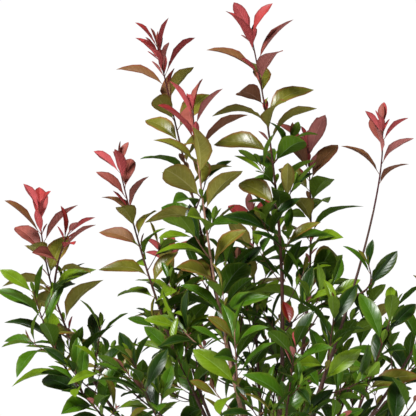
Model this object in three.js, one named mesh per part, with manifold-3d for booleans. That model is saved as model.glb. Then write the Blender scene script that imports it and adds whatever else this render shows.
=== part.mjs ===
// A photinia red robin shrub: a short main stem, twelve leaders and the side shoots on them.
// Millimetres, +Z up. The origin is the middle of the flat cut under the stem, at ground level.
import * as THREE from 'three';
import { mergeVertices } from 'three/addons/utils/BufferGeometryUtils.js';
import Module from 'manifold-3d';

const wasm = await Module();
wasm.setup();

const { clamp, degToRad } = THREE.MathUtils;
const vector = (xyz) => new THREE.Vector3(...xyz);
const UP = vector([0, 0, 1]);

// ---- Limbs --------------------------------------------------------------

const GAP = 0.3;                 // between two solids that carry each other
const RUN = 120;                 // about the length of a limb's straight runs
const BOUGH_SIDES = 6;
const STEM_SIDES = 3;            // of the stems and twigs in the foliage

// Radii at foot and tip. A taper above 1 thins the limb faster near its foot, and a crowding
// above 1 sets its rings closer there.
const TRUNK = { foot: 14, top: 10, taper: 1, flare: 9, flareHeight: 22, sides: 11, rings: 7, crowding: 1.4 };
const LEADER = { foot: 5.8, top: 1.3, taper: 1.3 };
const SHOOT = { foot: 2.6, top: 1.1, taper: 1 };
const TWIG = { foot: 1.7, top: 0.9, taper: 1 };
const TRUNK_LINE = { foot: [0, 0, 0], knee: [0, 0, 95], tip: [10, -4, 205] };

// A leader leaves the main stem at height `foot`, bends at its knee and ends at its tip.
// Its share `bare` is a leafless bough. The first `young` leaves from its tip are red, and
// `seed` picks how its leaves stray.
const LEADERS = [
  { name: 'tall', foot: 196, knee: [66, 10, 650], tip: [-36, 0, 1110], bare: 0.30,
    leaves: 23, young: 7, size: 106, turn: 200, twigs: 4, seed: 3 },
  { name: 'upper_left', foot: 140, knee: [-112, 95, 600], tip: [-222, 40, 1080], bare: 0.36,
    leaves: 23, young: 7, size: 98, turn: 220, twigs: 4, seed: 13 },
  { name: 'centre_left', foot: 150, knee: [-105, -95, 470], tip: [-150, -75, 945], bare: 0.34,
    leaves: 22, young: 6, size: 112, turn: 60, twigs: 4, seed: 13 },
  { name: 'centre_right', foot: 152, knee: [115, 70, 540], tip: [84, 120, 890], bare: 0.36,
    leaves: 19, young: 6, size: 100, turn: 40, twigs: 3, seed: 19 },
  { name: 'right', foot: 128, knee: [245, -20, 740], tip: [226, -25, 915], bare: 0.80,
    leaves: 8, young: 8, size: 82, turn: 65, twigs: 0, seed: 11 },
  { name: 'left', foot: 118, knee: [-205, 70, 410], tip: [-300, 60, 838], bare: 0.40,
    leaves: 17, young: 7, size: 86, turn: 20, twigs: 3, seed: 4 },
  { name: 'far_left', foot: 92, knee: [-430, -20, 340], tip: [-454, -40, 748], bare: 0.50,
    leaves: 15, young: 6, size: 100, turn: 160, twigs: 2, seed: 3 },
  { name: 'far_right', foot: 100, knee: [270, 60, 350], tip: [400, 40, 690], bare: 0.48,
    leaves: 13, young: 5, size: 94, turn: 330, twigs: 2, seed: 8 },
  { name: 'back', foot: 122, knee: [-20, 230, 400], tip: [-24, 300, 735], bare: 0.38,
    leaves: 13, young: 3, size: 92, turn: 240, twigs: 3, seed: 9 },
  { name: 'back_left', foot: 100, knee: [-170, 220, 360], tip: [-206, 260, 655], bare: 0.46,
    leaves: 12, young: 4, size: 88, turn: 60, twigs: 3, seed: 10 },
  { name: 'back_right', foot: 84, knee: [200, 260, 320], tip: [225, 320, 560], bare: 0.46,
    leaves: 11, young: 0, size: 92, turn: 20, twigs: 2, seed: 11 },
  { name: 'front', foot: 112, knee: [20, -240, 300], tip: [40, -330, 500], bare: 0.46,
    leaves: 11, young: 0, size: 98, turn: 280, twigs: 3, seed: 12 },
];

// A side shoot leaves its host leader at the share `at` of that leader's length.
const SIDE_SHOOT = { leaves: 9, young: 0, size: 100, turn: 60, twigs: 1 };
const SIDE_SHOOTS = [
  { name: 'left_fork', host: 'far_left', at: 0.80, knee: [-420, -70, 650], tip: [-392, -110, 704],
    leaves: 8, young: 8, size: 90, turn: 10, twigs: 0 },
  { name: 'left_low', host: 'far_left', at: 0.33, knee: [-400, -100, 370], tip: [-458, -120, 590],
    leaves: 13, size: 106, turn: 190, twigs: 2 },
  { name: 'right_whorl', host: 'right', at: 0.58, knee: [215, -60, 590], tip: [196, -70, 640],
    turn: 10, size: 88, twigs: 0 },
  { name: 'front_left', host: 'far_left', at: 0.22, knee: [-200, -170, 300], tip: [-262, -250, 470],
    turn: 210 },
  { name: 'front_right', host: 'right', at: 0.22, knee: [100, -170, 350], tip: [118, -230, 560],
    leaves: 10, turn: 120, twigs: 2 },
  { name: 'right_low', host: 'far_right', at: 0.30, knee: [200, -90, 420], tip: [242, -110, 560],
    leaves: 10, turn: 330 },
  { name: 'right_front', host: 'far_right', at: 0.20, knee: [200, -190, 260], tip: [290, -260, 430],
    turn: 0 },
  { name: 'rear_left_low', host: 'back_left', at: 0.30, knee: [-240, 160, 320], tip: [-370, 200, 455],
    turn: 90 },
  { name: 'rear_right_low', host: 'back_right', at: 0.30, knee: [240, 150, 320], tip: [370, 190, 500],
    turn: 45 },
  { name: 'rear_low', host: 'back', at: 0.24, knee: [20, 260, 300], tip: [40, 400, 500], turn: 150 },
  { name: 'inner_left', host: 'left', at: 0.22, knee: [-120, -40, 330], tip: [-190, -90, 480],
    leaves: 8, turn: 10 },
  { name: 'inner_right', host: 'tall', at: 0.22, knee: [110, 40, 380], tip: [170, 90, 520],
    leaves: 8, turn: 85 },
  { name: 'inner_front', host: 'centre_left', at: 0.22, knee: [-60, -150, 330], tip: [-70, -230, 520],
    leaves: 8 },
  { name: 'inner_back', host: 'upper_left', at: 0.24, knee: [-80, 150, 360], tip: [-40, 260, 560],
    leaves: 8 },
].map((row) => ({ ...SIDE_SHOOT, ...row }));
const LOW_SHOOTS = [
  { name: 'low_right', host: 'far_right', at: 0.11, knee: [160, -60, 150], tip: [250, -110, 290] },
  { name: 'low_left', host: 'far_left', at: 0.09, knee: [-150, 60, 140], tip: [-260, 110, 280] },
  { name: 'low_front', host: 'front', at: 0.12, knee: [-50, -140, 180], tip: [-90, -220, 300] },
  { name: 'low_back', host: 'back_right', at: 0.12, knee: [60, 150, 170], tip: [80, 250, 300] },
  { name: 'low_front_left', host: 'far_left', at: 0.14, knee: [-170, -90, 160], tip: [-240, -150, 290],
    turn: 20 },
  { name: 'low_front_right', host: 'front', at: 0.22, knee: [80, -150, 200], tip: [140, -210, 300],
    turn: 20 },
  { name: 'low_back_left', host: 'back_left', at: 0.14, knee: [-90, 130, 190], tip: [-150, 230, 300],
    turn: 20 },
  { name: 'low_back_right', host: 'far_right', at: 0.16, knee: [150, 110, 200], tip: [230, 180, 330],
    turn: 20 },
].map((row) => ({ ...SIDE_SHOOT, leaves: 7, ...row }));
const SHOOT_BARE = 0.15;         // share of a side shoot below its first leaf

// ---- Leaves and twigs ----------------------------------------------------

const LEAF = {
  width: 0.50,                   // shares of its length
  youngWidth: 0.40,
  thick: 0.024,
  thickAt: 0.27,                 // from its root
  petiole: 0.12,                 // from its root, and may pass close to its own stem's leaves
  fold: degToRad(24),            // of each half, up from the midrib's plane
  facing: { tip: 0.6, up: 0.6, out: -0.25 },   // where its upper side looks
};

// What changes from a shoot's tip down over `by` leaves, and how far each leaf strays from it.
const TURN = { step: 137.5, stray: 14 };                         // degrees round the stem
const LEAN = { tip: 28, base: 48, by: 12, stray: 12 };           // degrees off the stem
const SIZE = { tip: 0.70, base: 1, by: 3, stray: 0.12 };         // share of the shoot's leaf size
const DROOP = { tip: 0.08, base: 0.34, by: 9, stray: 0.12 };     // share of its length
const INTERNODE = { tip: 12, base: 22, by: 5, stray: 0.2 };       // from leaf to leaf
const ROLL_STRAY = 52;                                           // degrees about the midrib
const FIRST_BUD = 3;             // below the shoot's tip
const LAST_BUD = 14;             // above the shoot's leafless part
const YOUNG_LEAVES = 6;          // narrow ones at a shoot's tip

// How leaves and twigs sit on each kind of limb: the twigs start at the share `twigFrom` of
// the leafy part, `twigStep` apart.
const ON_LEADER = { spacing: 1.0, lift: 0.08, spread: 1,
  twigFrom: 0.04, twigStep: 0.13, twigLength: 130, twigLeaves: 5 };
const ON_SHOOT = { spacing: 1.2, lift: 0.14, spread: 1.15,
  twigFrom: 0.15, twigStep: 0.25, twigLength: 105, twigLeaves: 4 };
const ON_TWIG = { spacing: 1.15, lift: 0.2, spread: 1.3, size: 0.94, bare: 0.2, turnStep: 40 };
const TWIG_ANGLE = { lean: 48, stray: 10, turn: 100, turnStray: 20, lift: 0.5 };
const TWIG_SHORTER = 0.14;       // each twig than the one below it
const TWIG_STRAY = { place: 0.02, length: 0.2 };

const CLEAR = 0.6;               // between a leaf or twig and the solids of another node
const RETRIES = [0, 24, -24, 48, -48, 72, -72].map(degToRad);    // turns that a leaf tries

const LOOKS = {
  bark: { color: 0x6e5140, roughness: 0.85 },
  bough: { color: 0x5f3a34, roughness: 0.75 },
  green: { color: 0x3f6a24, roughness: 0.45 },
  red: { color: 0xa23a3c, roughness: 0.45 },
};

// ---- Centrelines --------------------------------------------------------

/** A seeded source of even draws: `stray(k)` lies between -k and k. */
function randomSource(seed) {
  let state = seed * 7919 + 12345;
  const draw = () => {
    state = (state * 48271) % 2147483647;
    return state / 2147483647;
  };
  for (let i = 0; i < 3; i += 1) draw();
  return { stray: (k) => (2 * draw() - 1) * k };
}

/** A limb's centreline: straight runs between knots on a bent curve, read by the share of its length. */
class Centreline {
  constructor(foot, knee, tip, limb) {
    this.foot = foot;
    this.limb = limb;
    this.curve = new THREE.QuadraticBezierCurve3(foot, knee, tip);
    this.length = this.curve.getLength();
    this.runs = Math.max(2, Math.round(this.length / RUN));
    this.knots = this.curve.getSpacedPoints(this.runs);
    const way = tip.clone().sub(foot).normalize();
    this.reference = Math.abs(way.x) < 0.8 ? vector([1, 0, 0]) : vector([0, 1, 0]);
    this.normal = knee.clone().sub(foot).cross(tip.clone().sub(knee)).normalize();   // to the bend's plane
  }

  point(share) {
    const at = clamp(share, 0, 1) * this.runs;
    const i = Math.min(Math.floor(at), this.runs - 1);
    return this.knots[i].clone().lerp(this.knots[i + 1], at - i);
  }

  radius(share) {
    const { foot, top, taper, flare = 0, flareHeight = 1 } = this.limb;
    return top + (foot - top) * (1 - share) ** taper + flare * Math.exp(-share * this.length / flareHeight);
  }

  /** The way along the limb, and two ways square to it. */
  frame(share) {
    const { v0, v1, v2 } = this.curve;
    const t = this.curve.getUtoTmapping(clamp(share, 0, 1));
    const along = v1.clone().sub(v0).multiplyScalar(1 - t).addScaledVector(v2.clone().sub(v1), t).normalize();
    const back = along.clone().cross(this.reference).normalize();
    const right = back.clone().cross(along);
    return { along, right, back };
  }

  /** Two ways square to the limb, which turn with its bend and never round it. */
  section(share) {
    const { along } = this.frame(share);
    return { right: this.normal, back: along.clone().cross(this.normal) };
  }

  /** The shares of the ends of a stretch and of the knots inside it. */
  stops(from, to) {
    const knots = Array.from({ length: this.runs - 1 }, (_, i) => (i + 1) / this.runs);
    return [from, ...knots.filter((share) => share > from + 0.01 && share < to - 0.01), to];
  }
}

/** The way square to a limb at an azimuth round it. */
function outward({ right, back }, azimuth) {
  return right.clone().multiplyScalar(Math.cos(azimuth)).addScaledVector(back, Math.sin(azimuth));
}

/** The way that leans off a limb by an angle, at an azimuth round it. */
function leaning(frame, azimuth, angle) {
  return frame.along.clone().multiplyScalar(Math.cos(angle))
    .addScaledVector(outward(frame, azimuth), Math.sin(angle));
}

// ---- Growth rule --------------------------------------------------------

const graded = ({ tip, base, by }, k) => tip + (base - tip) * Math.min(1, k / by);

/** The buds of a shoot from its tip down. */
function budsOn(path, bare, count, size, turn, habit, random) {
  const buds = [];
  let down = FIRST_BUD;
  while (buds.length < count && down < path.length * (1 - bare) - LAST_BUD) {
    const k = buds.length;
    const share = 1 - down / path.length;
    buds.push({
      at: path.point(share),
      frame: path.frame(share),
      down,
      azimuth: degToRad(turn + k * TURN.step + random.stray(TURN.stray)),
      lean: degToRad(graded(LEAN, k) * habit.spread + random.stray(LEAN.stray)),
      length: size * graded(SIZE, k) * (1 + random.stray(SIZE.stray)),
      droop: graded(DROOP, k) + random.stray(DROOP.stray),
      roll: degToRad(random.stray(ROLL_STRAY)),
      lift: habit.lift,
      width: k < YOUNG_LEAVES ? LEAF.youngWidth : LEAF.width,
    });
    down += habit.spacing * graded(INTERNODE, k) * (1 + random.stray(INTERNODE.stray));
  }
  return buds;
}

/** The twigs on a shoot's leafy part, each with its own buds. */
function twigsOn(path, bare, { twigs, turn, size }, habit, random) {
  return Array.from({ length: twigs }, (_, j) => {
    const share = bare + (1 - bare) * (habit.twigFrom + habit.twigStep * j) + random.stray(TWIG_STRAY.place);
    const azimuth = degToRad(turn + TWIG_ANGLE.turn + j * TURN.step + random.stray(TWIG_ANGLE.turnStray));
    const lean = degToRad(TWIG_ANGLE.lean + random.stray(TWIG_ANGLE.stray));
    const way = leaning(path.frame(share), azimuth, lean);
    const half = habit.twigLength * (1 - TWIG_SHORTER * j) * (1 + random.stray(TWIG_STRAY.length)) / 2;
    const foot = path.point(share);
    const knee = foot.clone().addScaledVector(way, half);
    const tip = knee.clone().addScaledVector(way.addScaledVector(UP, TWIG_ANGLE.lift).normalize(), half);
    const twig = new Centreline(foot, knee, tip, TWIG);
    const start = turn + ON_TWIG.turnStep * j;
    const buds = budsOn(twig, ON_TWIG.bare, habit.twigLeaves, size * ON_TWIG.size, start, ON_TWIG, random);
    return { path: twig, buds };
  });
}

/** A leaf's six corners, when its bud is turned by an angle. Its root lies on the stem's axis. */
function leafCorners(bud, turn) {
  const { frame, at: root, length } = bud;
  const azimuth = bud.azimuth + turn;
  const along = leaning(frame, azimuth, bud.lean).addScaledVector(UP, bud.lift).normalize();
  const face = frame.along.clone().multiplyScalar(LEAF.facing.tip).addScaledVector(UP, LEAF.facing.up)
    .addScaledVector(outward(frame, azimuth), LEAF.facing.out);
  face.addScaledVector(along, -face.dot(along)).normalize().applyAxisAngle(along, bud.roll);
  const side = face.clone().cross(along);
  const rib = (share, up = 0, across = 0) => root.clone().addScaledVector(along, length * share)
    .addScaledVector(face, up - bud.droop * length * share * share).addScaledVector(side, across);
  const half = bud.width * length / 2;
  const thick = LEAF.thick * length / 2;
  return {
    root,
    tip: rib(1),
    left: rib(0.5, half * Math.sin(LEAF.fold), half * Math.cos(LEAF.fold)),
    right: rib(0.5, half * Math.sin(LEAF.fold), -half * Math.cos(LEAF.fold)),
    upper: rib(LEAF.thickAt, thick),
    lower: rib(LEAF.thickAt, -thick),
  };
}

// ---- Clearance ----------------------------------------------------------

/** A small convex shape: its corners, the ways of its edges and the ways its faces point. */
function hull(points, edges, normals) {
  const centre = points.reduce((sum, p) => sum.add(p), vector([0, 0, 0])).divideScalar(points.length);
  const reach = Math.max(...points.map((p) => p.distanceTo(centre)));
  return { points, edges, normals, centre, reach };
}

/** The hull of a leaf beyond its first share `cut`. */
function leafHull({ root, tip, left, right, lower }, cut) {
  const points = [root.clone().lerp(tip, cut), left, right, tip, lower];
  const way = (a, b) => points[b].clone().sub(points[a]);
  const edges = [[0, 1], [0, 2], [0, 4], [3, 1], [3, 2], [3, 4], [1, 2], [1, 4], [2, 4]];
  const faces = [[0, 1, 2], [3, 1, 2], [0, 1, 4], [0, 2, 4], [3, 1, 4], [3, 2, 4]];
  return hull(points, edges.map(([a, b]) => way(a, b)), faces.map(([a, b, c]) => way(a, b).cross(way(a, c))));
}

/** Boxes round a stretch of a limb. */
function limbBoxes(path, from, to, count) {
  return Array.from({ length: count }, (_, i) => {
    const shares = [i, i + 1].map((n) => from + (to - from) * n / count);
    const ends = shares.map((share) => path.point(share));
    const radius = path.radius(shares[0]);
    const along = ends[1].clone().sub(ends[0]).normalize();
    const back = along.clone().cross(path.reference).normalize();
    const right = back.clone().cross(along);
    const corners = [[-1, -1], [-1, 1], [1, -1], [1, 1]];
    const points = ends.flatMap((end) => corners.map(([x, y]) => end.clone()
      .addScaledVector(right, x * radius).addScaledVector(back, y * radius)));
    return hull(points, [along, right, back], [along, right, back]);
  });
}

/** Whether some direction shows at least `gap` between two hulls. */
function apart(a, b, gap) {
  if (a.centre.distanceTo(b.centre) > a.reach + b.reach + gap) return true;
  const shows = (axis) => {
    const size = axis.length();
    if (size < 1e-6) return false;
    const spanA = a.points.map((p) => p.dot(axis) / size);
    const spanB = b.points.map((p) => p.dot(axis) / size);
    return Math.max(Math.min(...spanA) - Math.max(...spanB), Math.min(...spanB) - Math.max(...spanA)) > gap;
  };
  if (a.normals.some(shows) || b.normals.some(shows)) return true;
  return a.edges.some((e) => b.edges.some((f) => shows(e.clone().cross(f))));
}

// What stands so far: its node, its whole hull for the other nodes, and its outer hull for its own.
const standing = [];

function fits(node, whole, outer) {
  return standing.every((s) => (s.node === node ? apart(outer, s.outer, 0) : apart(whole, s.whole, CLEAR)));
}

function stand(node, whole, outer = whole) {
  standing.push({ node, whole, outer });
}

/** The corners of a bud's leaf at the first turn where it touches nothing, or null. */
function unfold(node, bud) {
  for (const turn of RETRIES) {
    const corners = leafCorners(bud, turn);
    const whole = leafHull(corners, 0);
    const outer = leafHull(corners, LEAF.petiole);
    if (fits(node, whole, outer)) {
      stand(node, whole, outer);
      return corners;
    }
  }
  return null;
}

// ---- Solids -------------------------------------------------------------

/** A closed three.js geometry as a solid that can be joined and cut. */
function solid(geometry) {
  geometry.deleteAttribute('normal');
  geometry.deleteAttribute('uv');
  const merged = mergeVertices(geometry, 1e-4);
  return new wasm.Manifold(new wasm.Mesh({
    numProp: 3,
    vertProperties: merged.attributes.position.array,
    triVerts: new Uint32Array(merged.index.array),
  }));
}

/** Moves each vertex of a geometry to where `place` puts it. */
function moved(geometry, place) {
  const spots = geometry.attributes.position;
  for (let i = 0; i < spots.count; i += 1) {
    const spot = place(spots.getX(i), spots.getY(i), spots.getZ(i));
    spots.setXYZ(i, spot.x, spot.y, spot.z);
  }
  return geometry;
}

/** A cylinder whose rings stand at stops on a centreline, grown all round by `extra`. */
function limbSolid(path, stops, sides, extra = 0) {
  const runs = stops.length - 1;
  return solid(moved(new THREE.CylinderGeometry(1, 1, 1, sides, runs), (x, y, z) => {
    const stop = stops[Math.round((y + 0.5) * runs)];
    const { right, back } = path.section(stop);
    const radius = path.radius(stop) + extra;
    return path.point(stop).addScaledVector(back, x * radius).addScaledVector(right, z * radius);
  }));
}

/** A leaf of eight faces: an octahedron whose corners move to the leaf's own. */
function leafSolid({ root, tip, left, right, upper, lower }) {
  return solid(moved(new THREE.OctahedronGeometry(1, 0), (x, y, z) => {
    if (Math.abs(x) > 0.5) return x > 0 ? tip : root;
    if (Math.abs(y) > 0.5) return y > 0 ? left : right;
    return z > 0 ? upper : lower;
  }));
}

/** The largest body of a solid, without the scraps that a cut leaves. */
function largestBody(whole) {
  return whole.decompose().sort((a, b) => b.volume() - a.volume())[0];
}

const shrub = new THREE.Group();

/** Adds a solid to a group as a named mesh that stands at its own foot. */
function addMesh(group, name, whole, look, foot) {
  const { vertProperties, triVerts } = whole.getMesh();
  const geometry = new THREE.BufferGeometry();
  geometry.setAttribute('position', new THREE.BufferAttribute(new Float32Array(vertProperties), 3));
  geometry.setIndex(new THREE.BufferAttribute(new Uint32Array(triVerts), 1));
  geometry.translate(-foot.x, -foot.y, -foot.z);
  geometry.computeVertexNormals();
  const mesh = new THREE.Mesh(geometry, new THREE.MeshStandardMaterial({ ...LOOKS[look], metalness: 0 }));
  mesh.name = name;
  mesh.position.copy(foot).sub(group.position);
  group.add(mesh);
}

// ---- The shrub's limbs ----------------------------------------------------

const trunk = new Centreline(vector(TRUNK_LINE.foot), vector(TRUNK_LINE.knee), vector(TRUNK_LINE.tip), TRUNK);
const trunkStops = Array.from({ length: TRUNK.rings + 1 }, (_, i) => (i / TRUNK.rings) ** TRUNK.crowding);

const boughs = {};
const groups = {};               // one for each leader, at its foot
const masses = [];

LEADERS.forEach((row) => {
  const { name, bare, young } = row;
  const random = randomSource(row.seed);
  const foot = trunk.point(row.foot / TRUNK_LINE.tip[2]);
  const path = new Centreline(foot, vector(row.knee), vector(row.tip), LEADER);
  boughs[name] = { path, bare };
  groups[name] = new THREE.Group();
  groups[name].position.copy(foot);
  shrub.add(groups[name]);
  const buds = budsOn(path, bare, row.leaves, row.size, row.turn, ON_LEADER, random);
  const twigs = twigsOn(path, bare, row, ON_LEADER, random);
  const [tipBuds, oldBuds] = [buds.slice(0, young), buds.slice(young)];
  const gap = GAP / path.length;
  // The red tip starts halfway between its last leaf and the first green one.
  let tipFrom = 1;
  if (!oldBuds.length) tipFrom = bare + gap;
  else if (young) tipFrom = 1 - (tipBuds.at(-1).down + oldBuds[0].down) / 2 / path.length;
  if (oldBuds.length) {
    masses.push({ name: `foliage_${name}`, leader: name, look: 'green', path, from: bare + gap,
      to: young ? tipFrom - gap : 1, buds: oldBuds, twigs });
  }
  if (young) {
    masses.push({ name: `tip_${name}`, leader: name, look: 'red', path, from: tipFrom, to: 1,
      buds: tipBuds, twigs: [] });
  }
});

[...SIDE_SHOOTS, ...LOW_SHOOTS].forEach((row, i) => {
  const random = randomSource(LEADERS.length + i + 1);
  const foot = boughs[row.host].path.point(row.at);
  const path = new Centreline(foot, vector(row.knee), vector(row.tip), SHOOT);
  const buds = budsOn(path, SHOOT_BARE, row.leaves, row.size, row.turn, ON_SHOOT, random);
  const twigs = twigsOn(path, SHOOT_BARE, row, ON_SHOOT, random);
  masses.push({ name: `shoot_${row.name}`, host: row.host, look: row.young ? 'red' : 'green', path,
    from: 0, to: 1, buds, twigs });
});

// ---- What fits: limbs first, then twigs, then leaves ----------------------

const BOXES = { trunk: 4, limb: 6, twig: 3 };      // along each of them
const ROOTED = { bough: 0.05, shoot: 0.06, twig: 0.3 };   // shares sunk in the limb that carries it

limbBoxes(trunk, 0, 1, BOXES.trunk).forEach((box) => stand('trunk', box));
Object.entries(boughs).forEach(([name, { path, bare }]) => {
  limbBoxes(path, ROOTED.bough, bare, BOXES.limb).forEach((box) => stand(`bough_${name}`, box));
});
masses.forEach(({ name, path, from, to, host }) => {
  limbBoxes(path, host ? ROOTED.shoot : from, to, BOXES.limb).forEach((box) => stand(name, box));
});
masses.forEach((mass) => {
  mass.twigs = mass.twigs.filter(({ path }) => {
    const boxes = limbBoxes(path, 0, 1, BOXES.twig);
    const [outer] = limbBoxes(path, ROOTED.twig, 1, 1);
    const free = boxes.every((box) => fits(mass.name, box, outer));
    if (free) boxes.forEach((box, i) => stand(mass.name, box, i ? box : outer));
    return free;
  });
});
masses.forEach((mass) => {
  const shoots = [mass, ...mass.twigs];
  mass.leaves = shoots.flatMap(({ buds }) => buds.map((bud) => unfold(mass.name, bud)).filter(Boolean));
});

// ---- Assembly -----------------------------------------------------------

addMesh(shrub, 'trunk', limbSolid(trunk, trunkStops, TRUNK.sides), 'bark', trunk.foot);

// Each bough is cut clear of the main stem and of the boughs before it.
const cutters = [limbSolid(trunk, trunkStops, TRUNK.sides, GAP)];
const carriers = {};
Object.entries(boughs).forEach(([name, { path, bare }]) => {
  const stops = path.stops(0, bare);
  const whole = cutters.reduce((left, cutter) => left.subtract(cutter), limbSolid(path, stops, BOUGH_SIDES));
  addMesh(groups[name], `bough_${name}`, largestBody(whole), 'bough', path.foot);
  const cutter = limbSolid(path, stops, BOUGH_SIDES, GAP);
  cutters.push(cutter);
  carriers[name] = [cutter];
});

// Each side shoot is cut clear of its leader's bough and of that leader's leafy stem.
masses.filter(({ leader }) => leader).forEach(({ leader, path, from, to }) => {
  carriers[leader].push(limbSolid(path, path.stops(from, to), STEM_SIDES, GAP));
});

masses.forEach(({ name, look, leader, host, path, from, to, twigs, leaves }) => {
  const stem = limbSolid(path, path.stops(from, to), STEM_SIDES);
  const twigSolids = twigs.map((twig) => limbSolid(twig.path, twig.path.stops(0, 1), STEM_SIDES));
  const joined = wasm.Manifold.union([stem, ...twigSolids, ...leaves.map(leafSolid)]);
  const whole = (carriers[host] ?? []).reduce((left, cutter) => left.subtract(cutter), joined);
  addMesh(groups[leader ?? host], name, largestBody(whole), look, path.point(from));
});

export default shrub;
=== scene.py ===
"""A photinia red robin shrub: barked stem and boughs, with fine twigs and leaves of eight tones."""
import math
from collections import namedtuple
from dataclasses import dataclass, field
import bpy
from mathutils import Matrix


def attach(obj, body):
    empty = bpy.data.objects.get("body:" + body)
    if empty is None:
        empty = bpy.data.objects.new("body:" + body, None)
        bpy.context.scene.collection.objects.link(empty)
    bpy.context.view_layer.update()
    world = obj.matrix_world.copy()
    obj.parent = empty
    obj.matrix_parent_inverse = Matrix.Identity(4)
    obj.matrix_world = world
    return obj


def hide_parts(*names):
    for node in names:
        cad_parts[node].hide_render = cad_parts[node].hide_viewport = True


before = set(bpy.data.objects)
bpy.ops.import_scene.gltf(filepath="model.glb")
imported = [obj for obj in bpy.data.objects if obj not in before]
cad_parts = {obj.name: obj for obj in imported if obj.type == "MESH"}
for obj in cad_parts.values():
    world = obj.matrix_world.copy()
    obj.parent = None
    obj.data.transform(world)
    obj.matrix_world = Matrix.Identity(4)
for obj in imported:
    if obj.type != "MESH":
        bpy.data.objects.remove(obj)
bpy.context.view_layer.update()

from types import SimpleNamespace as Row

import bpy
import numpy as np
from mathutils import Vector, noise

bl_info = {
    "name": "Photinia red robin shrub",
    "version": (1, 0, 0),
    "blender": (4, 5, 0),
    "location": "View3D > Sidebar > Shrub",
    "description": "Grows a shrub's stem, boughs, twigs and leaves over its solids",
    "category": "Object",
}

MM = 0.001  # the growth rule counts in millimetres, the scene in metres
UP = np.array([0.0, 0.0, 1.0])

# ---- The shrub's limbs, as its solids have them ----

# A limb's radii at its foot and top, its taper's power, and the flare at its foot.
Limb = namedtuple("Limb", "foot top taper flare flare_height", defaults=(1, 0, 1))
TRUNK = Limb(14, 10, flare=9, flare_height=22)
LEADER = Limb(5.8, 1.3, taper=1.3)
SHOOT = Limb(2.6, 1.1)
TWIG = Limb(1.7, 0.9)
SPRIG_WOOD = Limb(1.1, 0.6)
TRUNK_LINE = Row(foot=(0, 0, 0), knee=(0, 0, 95), tip=(10, -4, 205))

# A leader leaves the main stem at height `foot`, and its share `bare` is a leafless bough. From
# its tip the first `young` leaves are red, and the first of all stands at `turn` degrees.
Leader = namedtuple("Leader", "name foot knee tip bare leaves young size turn twigs seed")
LEADERS = [Leader(*row) for row in (
    ("tall", 196, (66, 10, 650), (-36, 0, 1110), 0.30, 23, 7, 106, 200, 4, 3),
    ("upper_left", 140, (-112, 95, 600), (-222, 40, 1080), 0.36, 23, 7, 98, 220, 4, 13),
    ("centre_left", 150, (-105, -95, 470), (-150, -75, 945), 0.34, 22, 6, 112, 60, 4, 13),
    ("centre_right", 152, (115, 70, 540), (84, 120, 890), 0.36, 19, 6, 100, 40, 3, 19),
    ("right", 128, (245, -20, 740), (226, -25, 915), 0.80, 8, 8, 82, 65, 0, 11),
    ("left", 118, (-205, 70, 410), (-300, 60, 838), 0.40, 17, 7, 86, 20, 3, 4),
    ("far_left", 92, (-430, -20, 340), (-454, -40, 748), 0.50, 15, 6, 100, 160, 2, 3),
    ("far_right", 100, (270, 60, 350), (400, 40, 690), 0.48, 13, 5, 94, 330, 2, 8),
    ("back", 122, (-20, 230, 400), (-24, 300, 735), 0.38, 13, 3, 92, 240, 3, 9),
    ("back_left", 100, (-170, 220, 360), (-206, 260, 655), 0.46, 12, 4, 88, 60, 3, 10),
    ("back_right", 84, (200, 260, 320), (225, 320, 560), 0.46, 11, 0, 92, 20, 2, 11),
    ("front", 112, (20, -240, 300), (40, -330, 500), 0.46, 11, 0, 98, 280, 3, 12),
)]

# A side shoot leaves its host leader at the share `at` of that leader's length. Most have leaves
# 100 long, one twig and no red leaves.
SideShoot = namedtuple(
    "SideShoot", "name host at knee tip leaves turn size twigs young", defaults=(100, 1, 0))
SIDE_SHOOTS = [SideShoot(*row) for row in (
    ("left_fork", "far_left", 0.80, (-420, -70, 650), (-392, -110, 704), 8, 10, 90, 0, 8),
    ("left_low", "far_left", 0.33, (-400, -100, 370), (-458, -120, 590), 13, 190, 106, 2),
    ("right_whorl", "right", 0.58, (215, -60, 590), (196, -70, 640), 9, 10, 88, 0),
    ("front_left", "far_left", 0.22, (-200, -170, 300), (-262, -250, 470), 9, 210),
    ("front_right", "right", 0.22, (100, -170, 350), (118, -230, 560), 10, 120, 100, 2),
    ("right_low", "far_right", 0.30, (200, -90, 420), (242, -110, 560), 10, 330),
    ("right_front", "far_right", 0.20, (200, -190, 260), (290, -260, 430), 9, 0),
    ("rear_left_low", "back_left", 0.30, (-240, 160, 320), (-370, 200, 455), 9, 90),
    ("rear_right_low", "back_right", 0.30, (240, 150, 320), (370, 190, 500), 9, 45),
    ("rear_low", "back", 0.24, (20, 260, 300), (40, 400, 500), 9, 150),
    ("inner_left", "left", 0.22, (-120, -40, 330), (-190, -90, 480), 8, 10),
    ("inner_right", "tall", 0.22, (110, 40, 380), (170, 90, 520), 8, 85),
    ("inner_front", "centre_left", 0.22, (-60, -150, 330), (-70, -230, 520), 8, 60),
    ("inner_back", "upper_left", 0.24, (-80, 150, 360), (-40, 260, 560), 8, 60),
    ("low_right", "far_right", 0.11, (160, -60, 150), (250, -110, 290), 7, 60),
    ("low_left", "far_left", 0.09, (-150, 60, 140), (-260, 110, 280), 7, 60),
    ("low_front", "front", 0.12, (-50, -140, 180), (-90, -220, 300), 7, 60),
    ("low_back", "back_right", 0.12, (60, 150, 170), (80, 250, 300), 7, 60),
    ("low_front_left", "far_left", 0.14, (-170, -90, 160), (-240, -150, 290), 7, 20),
    ("low_front_right", "front", 0.22, (80, -150, 200), (140, -210, 300), 7, 20),
    ("low_back_left", "back_left", 0.14, (-90, 130, 190), (-150, 230, 300), 7, 20),
    ("low_back_right", "far_right", 0.16, (150, 110, 200), (230, 180, 330), 7, 20),
)]
SHOOT_BARE = 0.15  # share of a side shoot below its first leaf

# ---- The growth rule, as the solids have it, and finer ----

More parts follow.
